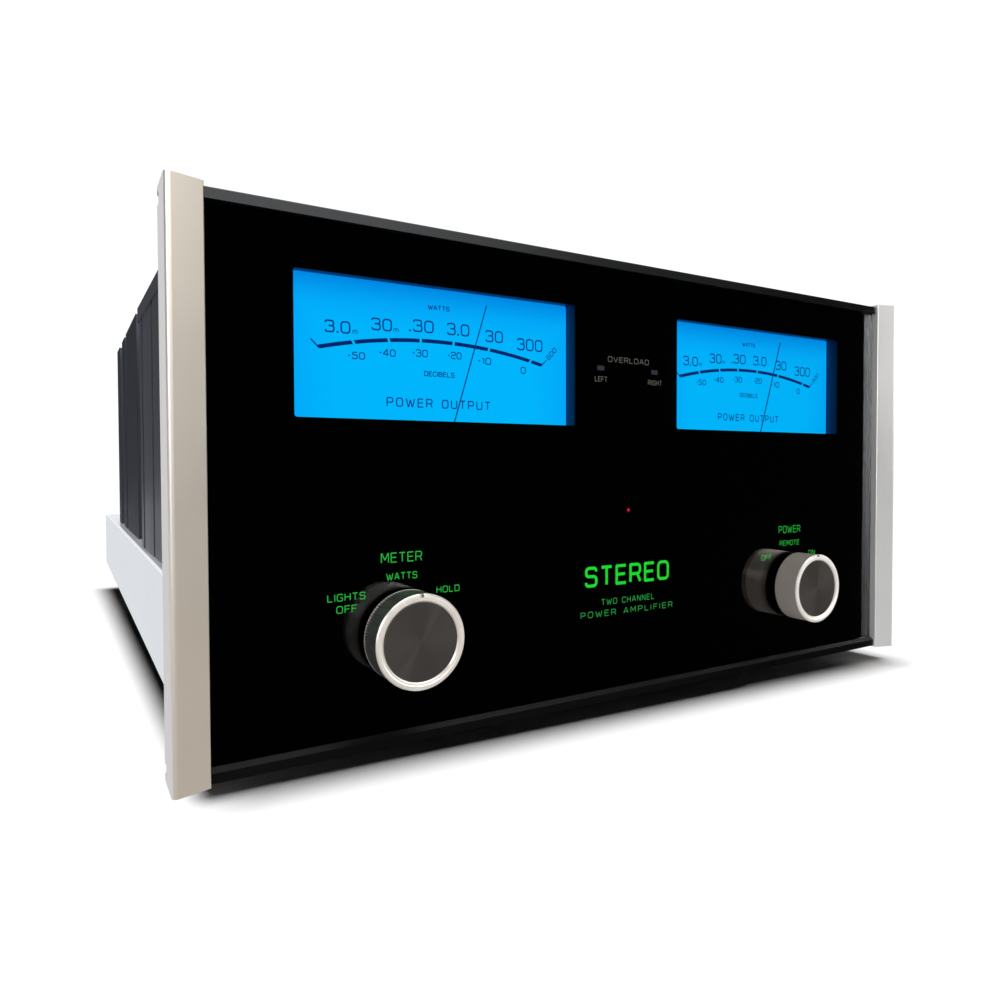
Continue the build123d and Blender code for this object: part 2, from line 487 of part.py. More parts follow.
def heatsink():
    """Right-hand heatsink: base plate, closed front block of flues, then open fin groups."""
    xi, xb = HS_IN, HS_IN + HS_BASE
    base = prism_z([(xi, FRONT_Y0), (xb, FRONT_Y0), (xb, REAR_Y1), (xi, REAR_Y1)], HS_BOT, HS_F_TOP)
    # outer wall leans out a little towards the rear, under a thin lip that overhangs it
    front = prism_z([(xb - 0.01, FRONT_Y0), (HS_F_OUT - 1.9, FRONT_Y0), (HS_F_OUT - 0.7, FRONT_Y1 - 2.0), (xb - 0.01, FRONT_Y1 - 2.0)], HS_BOT, HS_F_TOP)
    front = chamfer([e for e in front.edges().filter_by(Axis.Z) if e.center().X > HS_F_OUT - 3.0], 0.8)
    lip = prism_z([(xb - 0.01, FRONT_Y0), (HS_F_OUT - 1.2, FRONT_Y0), (HS_F_OUT, FRONT_Y1), (xb - 0.01, FRONT_Y1)], HS_F_TOP - LIP_H, HS_F_TOP)
    lip = fillet([e for e in lip.edges().filter_by(Axis.Z) if e.center().X > HS_F_OUT - 3.0 and e.center().Y > P(FRONT_Y1) - 1.0], 1.6)
    front += lip
    n = 10
    pitch = (FRONT_Y1 - FRONT_Y0 - 2.6) / n
    flues = None
    for i in range(n):
        y0 = FRONT_Y0 + 2.6 + pitch * i
        f = box(xb + 0.5, HS_F_OUT - 5.0, y0, y0 + pitch - 2.6, HS_BOT - 1, HS_F_TOP + 1)
        flues = f if flues is None else flues + f
    front -= flues
    # two shallow flutes down the outer wall, stopping short of the lip
    for (ya, yb) in ((104.0, 110.5), (148.5, 155.5)):
        xo = HS_F_OUT - 1.9 + 1.2 * ((ya + yb) / 2 - FRONT_Y0) / (FRONT_Y1 - 2.0 - FRONT_Y0)
        front -= prism_z([(xo + 1.0, ya - 0.4), (xo - 1.3, ya + 1.2), (xo - 0.6, yb - 1.0), (xo + 1.0, yb)], HS_BOT - 1, HS_F_TOP - LIP_H)
    pts = [(xb - 0.01, REAR_Y0)]
    for (a, b) in CLUSTERS:
        nf = int(round((b - a - FIN_T) / FIN_PITCH)) + 1
        p = (b - a - FIN_T) / (nf - 1)
        for k in range(nf):
            y0 = a + p * k
            pts += [(xb, y0), (HS_R_OUT - 0.5, y0), (HS_R_OUT, y0 + 0.5), (HS_R_OUT, y0 + FIN_T - 0.5), (HS_R_OUT - 0.5, y0 + FIN_T), (xb, y0 + FIN_T)]
    pts += [(xb - 0.01, REAR_Y1)]
    # drop repeated points where a fin starts at the outline's end
    clean = [pts[0]]
    for q in pts[1:]:
        if math.dist(q, clean[-1]) > 0.005:
            clean.append(q)
    rearp = prism_z([(xi + 2.0, REAR_Y0)] + clean + [(xi + 2.0, REAR_Y1)], HS_BOT, HS_R_TOP)
    s = base + front + rearp
    return s


hs = heatsink()
keep("heatsink_right", hs)
keep("heatsink_left", mirror_x(hs))

# output transistors on their boards, against the inner face of each heatsink
for sx, side in ((-1, "left"), (1, "right")):
    b0, b1 = 143.0, 144.6
    board = box(sx * b0, sx * b1, 222.0, 376.0, 90.0, 188.0)
    comp = board
    for k in range(6):
        yy = 240 + 23.5 * k
        comp += box(sx * b1, sx * (HS_IN - 0.05), yy - 8, yy + 8, 120.0, 141.0)
    for k in range(5):
        yy = 244 + 27 * k
        comp += cyl_x(yy, 168.0, 5.0, sx * 129.0, sx * 143.2)
    for yy in (230.0, 368.0):
        for zz in (98.0, 180.0):
            comp += cyl_x(yy, zz, 3.2, sx * b1, sx * (HS_IN - 0.05))
    keep("output_module_" + side, comp)

# ---------------------------------------------------------------- transformers under their covers


def can(x0, x1, y0, y1, top, r=9.0):
    c = rbox_z(x0, x1, y0, y1, DECK_Z + 0.05, top, r)
    c = fillet(c.edges().group_by(Axis.Z)[-1], 2.6)
    c -= rbox_z(x0 + 1.6, x1 - 1.6, y0 + 1.6, y1 - 1.6, DECK_Z - 1, top - 1.6, r - 1.6)
    return c


CAN_Y0, CAN_Y1, CAN_TOP = 52.0, 198.0, 206.0
keep("power_transformer_cover", can(-66, 66, CAN_Y0, CAN_Y1, CAN_TOP))
keep("output_transformer_cover_left", can(-156, -72, CAN_Y0, CAN_Y1, CAN_TOP))
keep("output_transformer_cover_right", can(72, 156, CAN_Y0, CAN_Y1, CAN_TOP))


def ei_core(xc, yc, w, d, h, z0):
    """Lamination stack with its winding round the middle leg, and two foot rails."""
    stack = box(xc - w / 2, xc + w / 2, yc - d / 2, yc + d / 2, z0 + 4, z0 + 4 + h)
    leg = w / 4
    for s in (-1, 1):
        a, b = sorted((xc + s * leg / 2, xc + s * (leg / 2 + leg * 0.5)))
        stack -= box(a, b, yc - d / 2 - 1, yc + d / 2 + 1, z0 + 4 + leg * 0.5, z0 + 4 + h - leg * 0.5)
    for s in (-1, 1):
        stack += box(xc + s * (w / 2 - 12), xc + s * (w / 2), yc - d / 2 - 6, yc + d / 2 + 6, z0, z0 + 4)
    wind = box(xc - leg, xc + leg, yc - d / 2 - leg * 0.45, yc + d / 2 + leg * 0.45, z0 + 4 + leg * 0.5 + 0.4, z0 + 4 + h - leg * 0.5 - 0.4)
    wind = fillet(wind.edges().filter_by(Axis.Z), 4.0)
    hole = box(xc - leg / 2, xc + leg / 2, yc - d / 2, yc + d / 2, z0, z0 + h + 8)
    wind -= hole
    return stack, wind


keep("power_transformer", *ei_core(0, 125, 112, 84, 112, DECK_Z + 0.05))
keep("output_transformer_left", *ei_core(-114, 125, 72, 84, 108, DECK_Z + 0.05))
keep("output_transformer_right", *ei_core(114, 125, 72, 84, 108, DECK_Z + 0.05))

# ---------------------------------------------------------------- electronics cover and what is under it
cov = box(-159.6, 159.6, 203.0, 392.0, DECK_Z + 0.05, 206.0)
cov = fillet(cov.edges().filter_by(Axis.X).group_by(Axis.Z)[-1], 4.0)
cov -= box(-158.4, 158.4, 204.2, 390.8, DECK_Z - 1, 204.8)
for sx in (-1, 1):
    a, b = sorted((sx * 158.0, sx * 160.0))
    # open sides, where the heatsinks close the space
    cov -= box(a, b, 212.0, 383.0, DECK_Z - 1, 198.0)
for j in range(3):
    for i in range(25):
        xx = -132 + 11 * i
        yy = 248 + 50 * j
        cov -= box(xx - 2.2, xx + 2.2, yy - 19, yy + 19, 203, 208)
for i in range(25):
    xx = -132 + 11 * i
    cov -= box(xx - 2.2, xx + 2.2, 389, 394, 100, 178)
keep("top_cover", cov)

caps = []
for x, y in ((-74, 262), (-74, 342), (74, 262), (74, 342)):
    c = cyl_z(x, y, 35.0, DECK_Z + 0.05, DECK_Z + 104)
    c = fillet(c.edges().group_by(Axis.Z)[-1], 2.0)
    c += cyl_z(x, y, 36.2, DECK_Z + 0.05, DECK_Z + 9)
    for dx in (-11, 11):
        c += cyl_z(x + dx, y, 4.5, DECK_Z + 104, DECK_Z + 110)
    caps.append(c)
keep("filter_capacitors", *caps)

psu = box(-32, 32, 222, 374, 92.0, 93.6)
for x, y in ((-26, 228), (26, 228), (-26, 368), (26, 368)):
    psu += cyl_z(x, y, 3.0, DECK_Z + 0.05, 92.0)
psu += box(-20, 20, 240, 262, 93.6, 118.0)      # bridge rectifier on its bar
psu += box(-12, 12, 290, 316, 93.6, 113.0)      # relay
for x, y in ((-20, 275), (20, 275), (-20, 335), (20, 335), (0, 352)):
    psu += cyl_z(x, y, 5.0, 93.6, 112.0)
keep("power_supply_board", psu)

inp = box(-84, 84, 440.0, 478.0, 36.6, 38.2)
for x, y in ((-78, 446), (78, 446), (-78, 472), (78, 472)):
    inp += cyl_z(x, y, 2.8, RAIL_Z0 + SHEET, 36.6)
for x in (-60, -36, 36, 60):
    inp += cyl_z(x, 456, 4.0, 38.2, 50.0)
for x in (-10, 10):
    inp += box(x - 5, x + 5, 450, 462, 38.2, 43.0)
keep("input_board", inp)

keep("screws", *SCREWS)

for name, shape in PIECES.items():
    export_step(shape, "parts/%s.step" % name)
print(len(PIECES), "pieces")
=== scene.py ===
import math

import bmesh
import bpy
from mathutils import Matrix, Vector


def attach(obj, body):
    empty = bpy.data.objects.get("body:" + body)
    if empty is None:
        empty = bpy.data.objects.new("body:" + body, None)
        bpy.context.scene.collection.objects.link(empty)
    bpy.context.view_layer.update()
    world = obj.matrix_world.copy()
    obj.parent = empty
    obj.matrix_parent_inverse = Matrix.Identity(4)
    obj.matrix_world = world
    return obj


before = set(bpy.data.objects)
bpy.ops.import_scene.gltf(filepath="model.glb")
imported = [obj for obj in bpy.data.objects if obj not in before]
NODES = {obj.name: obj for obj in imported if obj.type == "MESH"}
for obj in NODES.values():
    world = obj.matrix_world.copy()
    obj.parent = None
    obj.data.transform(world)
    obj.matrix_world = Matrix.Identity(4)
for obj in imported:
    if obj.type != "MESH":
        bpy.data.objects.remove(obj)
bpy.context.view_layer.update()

# the design's own axes: mm, x to the right, y to the rear from the end caps' front, z up from their foot
Y0, Z0 = 260.0, 13.3


def P(x, y, z):
    return Vector((x / 1000.0, (y - Y0) / 1000.0, (z + Z0) / 1000.0))


# ------------------------------------------------------------------ look: view, camera, studio
scene = bpy.context.scene
scene.view_settings.view_transform = "Standard"
scene.view_settings.look = "None"
scene.view_settings.exposure = 0.0
scene.view_settings.gamma = 1.0


def make_camera():
    yaw, pitch, roll = math.radians(30.7254), math.radians(-1.4179), math.radians(-0.1657)
    fwd = Vector((math.sin(yaw) * math.cos(pitch), math.cos(yaw) * math.cos(pitch), math.sin(pitch)))
    right = Vector((math.cos(yaw), -math.sin(yaw), 0.0))
    up = right.cross(fwd)
    r = right * math.cos(roll) + up * math.sin(roll)
    u = -right * math.sin(roll) + up * math.cos(roll)
    m = Matrix(((r.x, u.x, -fwd.x, 0), (r.y, u.y, -fwd.y, 0), (r.z, u.z, -fwd.z, 0), (0, 0, 0, 1)))
    cam = bpy.data.cameras.new("camera")
    cam.sensor_fit = "HORIZONTAL"
    cam.sensor_width = 36.0
    cam.lens = 0.7352126 * 36.0
    cam.shift_y = -0.01485
    cam.clip_start, cam.clip_end = 0.01, 100.0
    ob = bpy.data.objects.new("camera", cam)
    scene.collection.objects.link(ob)
    ob.matrix_world = Matrix.Translation(P(-254.3735, -286.3280, 120.5066)) @ m
    scene.camera = ob
    return ob


make_camera()


def area(name, loc, target, sx, sy, radiance, color=(1, 1, 1), **vis):
    li = bpy.data.lights.new(name, "AREA")
    li.shape = "RECTANGLE"
    li.size, li.size_y = sx, sy
    li.energy = radiance * math.pi * sx * sy
    li.color = color
    ob = bpy.data.objects.new(name, li)
    scene.collection.objects.link(ob)
    ob.location = loc
    ob.rotation_mode = "QUATERNION"
    ob.rotation_quaternion = (Vector(target) - Vector(loc)).to_track_quat("-Z", "Y")
    ob.visible_camera = False
    for k, v in vis.items():
        setattr(ob, k, v)
    return ob


def group(name, objects):
    """A collection that a light is linked to, so that each card in the studio lights only what it is meant for."""
    c = bpy.data.collections.new(name)
    for o in objects:
        c.objects.link(o)
    return c


BEHIND = ("front_glass", "glass_mask", "legend_light_guide", "indicator_lamps", "meter_housing_left", "meter_housing_right",
          "meter_dial_left", "meter_dial_right", "needle_left", "needle_right")
SINKS = ("heatsink_left", "heatsink_right")
TRIMS = ("top_trim", "bottom_trim")
DISCS = ("meter_knob_face", "power_knob_face")
KNOBS = ("meter_knob", "power_knob")
UNDER = ("bottom_cover", "front_subframe", "screws") + tuple(n for n in NODES if n.startswith("foot_"))
ENDS = ("end_cap_left", "end_cap_right")
OWN = BEHIND + SINKS + TRIMS + DISCS + ENDS
LIT = group("lit_parts", [o for n, o in NODES.items() if n not in BEHIND])
BRIGHT = group("bright_parts", [o for n, o in NODES.items() if n not in OWN])
ABOVE = group("parts_over_the_ground", [o for n, o in NODES.items() if n not in OWN + UNDER])
SINK = group("heatsinks", [NODES[n] for n in SINKS])
TRIM = group("trims", [NODES[n] for n in TRIMS])
DISC = group("knob_discs", [NODES[n] for n in DISCS])
KNOB = group("knobs", [NODES[n] for n in KNOBS])
CAPS = group("end_caps", [NODES[n] for n in ENDS])
CAP_L = group("left_end", [NODES["end_cap_left"]])
CAP_R = group("right_end", [NODES["end_cap_right"]])
RAIL = group("rail", [NODES["chassis_tray"]])


def card(name, receivers, *args, **kw):
    ob = area(name, *args, **kw)
    ob.light_linking.receiver_collection = receivers
    return ob


def around(deg, dist, z):
    """A point at a compass angle to the right of straight in front of the panel."""
    t = math.radians(deg)
    return (math.sin(t) * dist, -0.26 - math.cos(t) * dist, z)


COOL = (0.90, 1.0, 1.13)
card("light_top", LIT, (0.0, -0.1, 2.5), (0, 0, 0), 3.4, 3.4, 1.6)
card("light_left", BRIGHT, (-2.7, -0.3, 1.3), (0, 0, 0.1), 2.4, 1.6, 1.15)
card("card_front_a", BRIGHT, around(8, 3.0, 1.56), around(8, 0.0, 1.56), 3.4, 3.0, 0.66, (1.0, 0.965, 0.915))
card("card_front_b", BRIGHT, around(62, 3.0, 1.56), around(62, 0.0, 1.56), 3.2, 3.0, 0.74, (0.99, 0.99, 1.0))
card("card_back", BRIGHT, (-1.2, 3.2, 1.6), (-1.2, 0.0, 1.6), 7.0, 3.2, 0.78, (0.95, 0.98, 1.03))
card("floor_front", ABOVE, (-0.9, -1.7, 0.0008), (-0.9, -1.7, 1.0), 2.6, 2.86, 0.36, (1.0, 0.90, 0.78), visible_diffuse=False)
card("floor_right", ABOVE, (2.0, -1.7, 0.0008), (2.0, -1.7, 1.0), 3.2, 2.86, 0.58, (1.0, 0.98, 0.97), visible_diffuse=False)
card("floor_back", ABOVE, (-0.6, 1.54, 0.0008), (-0.6, 1.54, 1.0), 6.0, 3.6, 0.80, (0.955, 0.985, 1.02), visible_diffuse=False)
# the end caps: cool from behind and the left, warm and falling off on the left one's front, neutral on the right one's
card("light_left_end", CAP_L, around(-50, 2.6, 1.0), (0.2, -0.25, 0.12), 1.7, 1.7, 3.4, COOL)
card("light_right_end", CAP_R, around(-50, 2.6, 1.0), (0.2, -0.25, 0.12), 2.4, 2.2, 4.3, COOL)
card("card_back_caps", CAPS, (-1.2, 3.2, 1.6), (-1.2, 0.0, 1.6), 7.0, 3.2, 0.70, (0.96, 0.98, 1.07))
card("floor_back_caps", CAPS, (-0.6, 1.54, 0.0008), (-0.6, 1.54, 1.0), 6.0, 3.6, 0.66, (0.96, 0.98, 1.07), visible_diffuse=False)
card("left_end_high", CAP_L, around(8, 3.0, 2.3), around(8, 0.0, 2.3), 3.4, 2.6, 2.10, (1.0, 0.97, 0.91))
card("left_end_mid", CAP_L, around(8, 3.0, 0.62), around(8, 0.0, 0.62), 3.4, 0.75, 0.80, (1.0, 0.91, 0.83))
card("left_end_low", CAP_L, (-0.9, -1.71, 0.0008), (-0.9, -1.71, 1.0), 2.6, 2.9, 0.27, (1.0, 0.82, 0.66), visible_diffuse=False)
card("right_end_high", CAP_R, around(60, 3.0, 1.7), around(60, 0.0, 1.7), 3.2, 2.7, 2.25, (0.95, 1.0, 1.09))
card("right_end_low", CAP_R, (1.8, -1.7, 0.0008), (1.8, -1.7, 1.0), 3.4, 2.88, 0.42, (0.91, 1.0, 1.14), visible_diffuse=False)
card("light_rail", RAIL, (-2.0, 0.3, 1.7), (-0.2, 0.0, 0.07), 1.6, 1.6, 5.2, (0.97, 0.98, 1.02))
card("card_trim", TRIM, around(4, 3.0, 1.6), around(4, 0.0, 1.6), 3.0, 3.1, 1.15)
card("card_sink", SINK, (-1.2, 3.2, 1.2), (-1.2, 0.0, 1.2), 7.0, 2.6, 0.17, (0.92, 0.95, 1.08))
card("card_sink_front", SINK, around(-24, 3.0, 1.8), around(-24, 0.0, 1.8), 3.0, 2.4, 6.5, (0.90, 0.96, 1.10))
card("floor_sink", SINK, (-1.4, 1.0, 0.0008), (-1.4, 1.0, 1.0), 4.0, 3.0, 0.60, (0.94, 0.96, 1.08), visible_diffuse=False)
card("card_knob", KNOB, around(-62, 2.2, 1.1), (0.0, -0.25, 0.06), 1.4, 0.8, 3.3, (1.0, 0.96, 0.91))
card("card_knob_low", KNOB, around(-80, 2.0, 0.22), (0.0, -0.25, 0.06), 1.8, 0.22, 3.2, (1.0, 0.96, 0.92))
card("card_knob_front", KNOB, around(34, 3.0, 1.56), around(34, 0.0, 1.56), 4.4, 3.0, 2.4, (1.0, 0.93, 0.85))
card("card_disc", DISC, around(-36, 2.6, 1.0), (0.0, -0.25, 0.06), 0.6, 0.6, 9.0, (0.86, 0.96, 1.12))
card("card_disc_fill", DISC, around(40, 2.6, 1.2), (0.0, -0.25, 0.06), 3.4, 2.4, 0.30, (1.0, 0.96, 0.92))

# the ground is lit on its own, past a soft-edged card the size of the amplifier's footprint
sun = bpy.data.lights.new("ground_light", "SUN")
sun.energy = 3.62
sun.angle = math.radians(40.0)
sun_ob = bpy.data.objects.new("ground_light", sun)
scene.collection.objects.link(sun_ob)
sun_ob.location = (0, 0, 3)

world = bpy.data.worlds.new("studio")
scene.world = world
world.use_nodes = True
wn = world.node_tree
wn.nodes.clear()
w_out = wn.nodes.new("ShaderNodeOutputWorld")
w_mix = wn.nodes.new("ShaderNodeMixShader")
w_white = wn.nodes.new("ShaderNodeBackground")
w_dark = wn.nodes.new("ShaderNodeBackground")
w_lp = wn.nodes.new("ShaderNodeLightPath")
w_white.inputs[0].default_value = (1, 1, 1, 1)
w_white.inputs[1].default_value = 1.05
w_dark.inputs[0].default_value = (0.9, 0.95, 1.0, 1)
w_dark.inputs[1].default_value = 0.004
wn.links.new(w_lp.outputs["Is Camera Ray"], w_mix.inputs[0])
wn.links.new(w_dark.outputs[0], w_mix.inputs[1])
wn.links.new(w_white.outputs[0], w_mix.inputs[2])
wn.links.new(w_mix.outputs[0], w_out.inputs[0])


# ------------------------------------------------------------------ materials
class Mat:
    """A small builder for procedural materials in the part's own coordinates (metres)."""

    def __init__(self, name):
        self.m = bpy.data.materials.new(name)
        self.m.use_nodes = True
        self.t = self.m.node_tree
        self.b = self.t.nodes["Principled BSDF"]
        self.out = self.t.nodes["Material Output"]
        self.tc = self.t.nodes.new("ShaderNodeTexCoord")
        self.co = self.tc.outputs["Object"]
        self.h = None

    def link(self, a, b):
        self.t.links.new(a, b)

    def mapped(self, scale=(1, 1, 1), rot=(0, 0, 0), loc=(0, 0, 0), src=None):
        n = self.t.nodes.new("ShaderNodeMapping")
        n.inputs["Scale"].default_value = scale
        n.inputs["Rotation"].default_value = rot
        n.inputs["Location"].default_value = loc
        self.link(src or self.co, n.inputs["Vector"])
        return n.outputs[0]

    def noise(self, scale, detail=3.0, rough=0.55, vec=None):
        n = self.t.nodes.new("ShaderNodeTexNoise")
        n.inputs["Scale"].default_value = scale
        n.inputs["Detail"].default_value = detail
        n.inputs["Roughness"].default_value = rough
        self.link(vec or self.co, n.inputs["Vector"])
        return n.outputs["Fac"]

    def voronoi(self, scale, vec=None, feature="F1"):
        n = self.t.nodes.new("ShaderNodeTexVoronoi")
        n.feature = feature
        n.inputs["Scale"].default_value = scale
        self.link(vec or self.co, n.inputs["Vector"])
        return n.outputs["Distance"]

    def ramp(self, fac, stops, interp="LINEAR"):
        n = self.t.nodes.new("ShaderNodeValToRGB")
        n.color_ramp.interpolation = interp
        e = n.color_ramp.elements
        while len(e) < len(stops):
            e.new(0.5)
        for i, (p, c) in enumerate(stops):
            e[i].position = p
            e[i].color = (c[0], c[1], c[2], 1.0) if hasattr(c, "__len__") else (c, c, c, 1.0)
        self.link(fac, n.inputs["Fac"])
        return n.outputs["Color"]

    def maprange(self, v, a, b, c, d, clamp=True):
        n = self.t.nodes.new("ShaderNodeMapRange")
        n.clamp = clamp
        for i, x in enumerate((a, b, c, d)):
            n.inputs[i + 1].default_value = x
        self.link(v, n.inputs[0])
        return n.outputs[0]

    def math(self, op, a, b=None, c=None):
        n = self.t.nodes.new("ShaderNodeMath")
        n.operation = op
        for i, x in enumerate((a, b, c)):
            if x is None:
                continue
            if isinstance(x, (int, float)):
                n.inputs[i].default_value = x
            else:
                self.link(x, n.inputs[i])
        return n.outputs[0]

    def sep(self, vec=None):
        n = self.t.nodes.new("ShaderNodeSeparateXYZ")
        self.link(vec or self.co, n.inputs[0])
        return n.outputs

    def comb(self, x, y, z):
        n = self.t.nodes.new("ShaderNodeCombineXYZ")
        for i, v in enumerate((x, y, z)):
            if isinstance(v, (int, float)):
                n.inputs[i].default_value = v
            else:
                self.link(v, n.inputs[i])
        return n.outputs[0]

    def mix(self, fac, a, b, mode="MIX"):
        n = self.t.nodes.new("ShaderNodeMix")
        n.data_type = "RGBA"
        n.blend_type = mode
        for sock, v in ((n.inputs[0], fac), (n.inputs[6], a), (n.inputs[7], b)):
            if isinstance(v, (int, float)):
                sock.default_value = v if sock.type == "VALUE" else (v, v, v, 1)
            elif hasattr(v, "__len__"):
                sock.default_value = (v[0], v[1], v[2], 1.0)
            else:
                self.link(v, sock)
        return n.outputs[2]

    def normal(self):
        n = self.t.nodes.new("ShaderNodeNewGeometry")
        return n.outputs["Normal"]

    def bump(self, height, strength=0.2, dist=0.0002):
        n = self.t.nodes.new("ShaderNodeBump")
        n.inputs["Strength"].default_value = strength
        n.inputs["Distance"].default_value = dist
        self.link(height, n.inputs["Height"])
        if self.h is not None:
            self.link(self.h, n.inputs["Normal"])
        self.h = n.outputs[0]
        self.link(self.h, self.b.inputs["Normal"])
        return self.h

    def set(self, **kw):
        names = {"color": "Base Color", "metallic": "Metallic", "rough": "Roughness", "ior": "IOR", "spec": "Specular IOR Level",
                 "aniso": "Anisotropic", "anisorot": "Anisotropic Rotation", "coat": "Coat Weight", "coatrough": "Coat Roughness",
                 "trans": "Transmission Weight", "emit": "Emission Color", "emits": "Emission Strength", "alpha": "Alpha",
                 "sheen": "Sheen Weight", "sub": "Subsurface Weight", "tint": "Specular Tint"}
        for k, v in kw.items():
            s = self.b.inputs[names[k]]
            if isinstance(v, (int, float)):
                s.default_value = v
            elif hasattr(v, "__len__"):
                s.default_value = (v[0], v[1], v[2], 1.0)
            else:
                self.link(v, s)
        return self


def lin(hexs):
    h = hexs.lstrip("#")
    out = []
    for i in (0, 2, 4):
        c = int(h[i:i + 2], 16) / 255.0
        out.append(c / 12.92 if c <= 0.04045 else ((c + 0.055) / 1.055) ** 2.4)
    return tuple(out)


def scale(c, k):
    return tuple(min(1.0, x * k) for x in c)


def metal(name, col, rough=0.35, metallic=1.0, grain=1600.0, brush=None, var=0.05, rvar=0.08, bump=0.06, **kw):
    """Satin or brushed metal: fine grain, faint cloudiness, roughness that varies with it."""
    a = Mat(name)
    vec = a.mapped(scale=brush) if brush else None
    g = a.noise(grain, 4.0, 0.6, vec)
    cloud = a.noise(14.0, 3.0, 0.5)
    m = a.math("MULTIPLY_ADD", cloud, 0.6, a.math("MULTIPLY", g, 0.4))
    a.set(color=a.ramp(m, [(0.3, scale(col, 1 - var)), (0.7, scale(col, 1 + var))]),
          rough=a.maprange(m, 0.3, 0.7, max(0.03, rough - rvar), rough + rvar), metallic=metallic, **kw)
    if bump:
        a.bump(g, bump, 0.00005)
    return a


def plastic(name, col, rough=0.45, grain=2200.0, var=0.08, bump=0.12, **kw):
    a = Mat(name)
    g = a.noise(grain, 3.0, 0.6)
    cloud = a.noise(22.0, 3.0, 0.5)
    m = a.math("MULTIPLY_ADD", cloud, 0.5, a.math("MULTIPLY", g, 0.5))
    a.set(color=a.ramp(m, [(0.3, scale(col, 1 - var)), (0.7, scale(col, 1 + var))]),
          rough=a.maprange(m, 0.3, 0.7, max(0.05, rough - 0.07), rough + 0.07), **kw)
    if bump:
        a.bump(g, bump, 0.00006)
    return a


M = {}
M["champagne"] = metal("satin_champagne_aluminium", (0.86, 0.80, 0.72), 0.36, 0.72, grain=2600, var=0.03, bump=0.05)
M["trim"] = metal("dark_anodised_trim", (0.070, 0.074, 0.076), 0.30, 0.92, brush=(0.05, 1, 1), grain=1800)
# The bottom trim gets a darker copy of the trim finish: painted shade for the low trim by the floor.
M["trim_low"] = metal("bottom_trim_painted_shade", (0.026, 0.026, 0.027), 0.34, 0.85, brush=(0.05, 1, 1), grain=1800)
M["glass"] = Mat("clear_front_glass")
_g = M["glass"].noise(3.0, 2.0)
M["glass"].set(color=M["glass"].ramp(_g, [(0.0, (0.97, 0.985, 0.98)), (1.0, (0.985, 0.99, 0.99))]), rough=0.0, trans=1.0, ior=1.5, metallic=0.0)
M["mask"] = plastic("printed_black_mask", (0.0012, 0.0012, 0.0012), 0.7, bump=0.0)
M["mask"].set(spec=0.1)
M["steel_frame"] = metal("zinc_plated_steel", (0.55, 0.56, 0.58), 0.38)
M["acrylic"] = plastic("edge_lit_acrylic", (0.32, 0.36, 0.34), 0.3, bump=0.03)
M["black_steel"] = plastic("black_powder_coat", (0.012, 0.012, 0.013), 0.42, grain=1500, bump=0.35)
M["polished"] = metal("polished_stainless_steel", (0.83, 0.85, 0.88), 0.16, 1.0, brush=(1, 0.03, 1), grain=2200, var=0.02, rvar=0.04, bump=0.02)
# Faces that point up lose most of their metallic reflection and show the pale base colour as a diffuse white. This is a
# painted lighter top, for the light the tray's flange catches from above.
_n = M["polished"].sep(M["polished"].normal())
_up = M["polished"].maprange(_n[2], 0.5, 0.8, 0.0, 1.0)
M["polished"].set(metallic=M["polished"].maprange(_up, 0.0, 1.0, 1.0, 0.25))
M["heatsink"] = metal("black_anodised_heatsink", (0.030, 0.032, 0.036), 0.38, 0.5, brush=(1, 1, 0.04), grain=1400, var=0.12)
M["rubber"] = plastic("rubber", (0.018, 0.018, 0.018), 0.75, grain=1200, bump=0.3)
M["fastener"] = metal("plated_screw", (0.62, 0.62, 0.63), 0.28)
M["switch"] = plastic("switch_body", (0.03, 0.03, 0.032), 0.5)
M["shaft"] = metal("turned_shaft", (0.6, 0.6, 0.62), 0.3)
M["pcb"] = plastic("circuit_board", (0.02, 0.13, 0.05), 0.35)
M["laminate"] = metal("transformer_laminations", (0.22, 0.21, 0.2), 0.5, brush=(1, 1, 30), grain=60)
M["sleeve"] = plastic("capacitor_sleeve", (0.02, 0.05, 0.16), 0.3, bump=0.02)
M["base"] = plastic("post_base_plastic", (0.02, 0.02, 0.02), 0.35)
M["nut"] = metal("gold_plated_nut", (0.83, 0.62, 0.28), 0.22)
M["connector"] = plastic("connector_black", (0.02, 0.02, 0.021), 0.4)
M["nickel"] = metal("nickel_socket", (0.66, 0.64, 0.6), 0.2)
M["movement"] = metal("movement_steel", (0.35, 0.35, 0.36), 0.35)
M["lampbar"] = plastic("lamp_bar", (0.8, 0.8, 0.8), 0.5)


def meter_material():
    a = Mat("lit_meter_face")
    s = a.sep()
    ax = a.math("ABSOLUTE", a.math("SUBTRACT", a.math("ABSOLUTE", s[0]), 0.1041))
    zt = a.maprange(s[2], P(0, 0, 178).z, P(0, 0, 203).z, 0.0, 1.0)
    xt = a.maprange(ax, 0.050, 0.074, 0.0, 1.0)
    dark = a.math("MAXIMUM", a.math("MULTIPLY", a.math("POWER", zt, 1.6), 0.85), a.math("MULTIPLY", xt, 0.36))
    cl = a.noise(18.0, 2.0)
    f = a.math("MULTIPLY_ADD", cl, 0.06, dark)
    col = a.ramp(f, [(0.0, lin("#00b8ff")), (0.35, lin("#02aafb")), (0.7, lin("#0092ea")), (1.0, lin("#0072d8"))])
    a.set(color=(0.02, 0.05, 0.09), emit=col, emits=1.07, rough=0.6, spec=0.1)
    return a


M["meter"] = meter_material()
# The meter housing: its own colour is a dark purple. The lightening of that colour towards the dial at the back is
# painted glow, standing in for the dial's light on the walls.
M["housing"] = Mat("meter_housing")
_d = M["housing"].maprange(M["housing"].sep()[1], P(0, 12, 0).y, P(0, 20, 0).y, 0.0, 1.0)
_c = M["housing"].noise(40.0, 2.0)
M["housing"].set(color=M["housing"].mix(M["housing"].math("MULTIPLY_ADD", _c, 0.1, M["housing"].math("POWER", _d, 1.6)), (0.03, 0.012, 0.04), (0.2, 0.10, 0.24)), rough=0.4, spec=0.25)


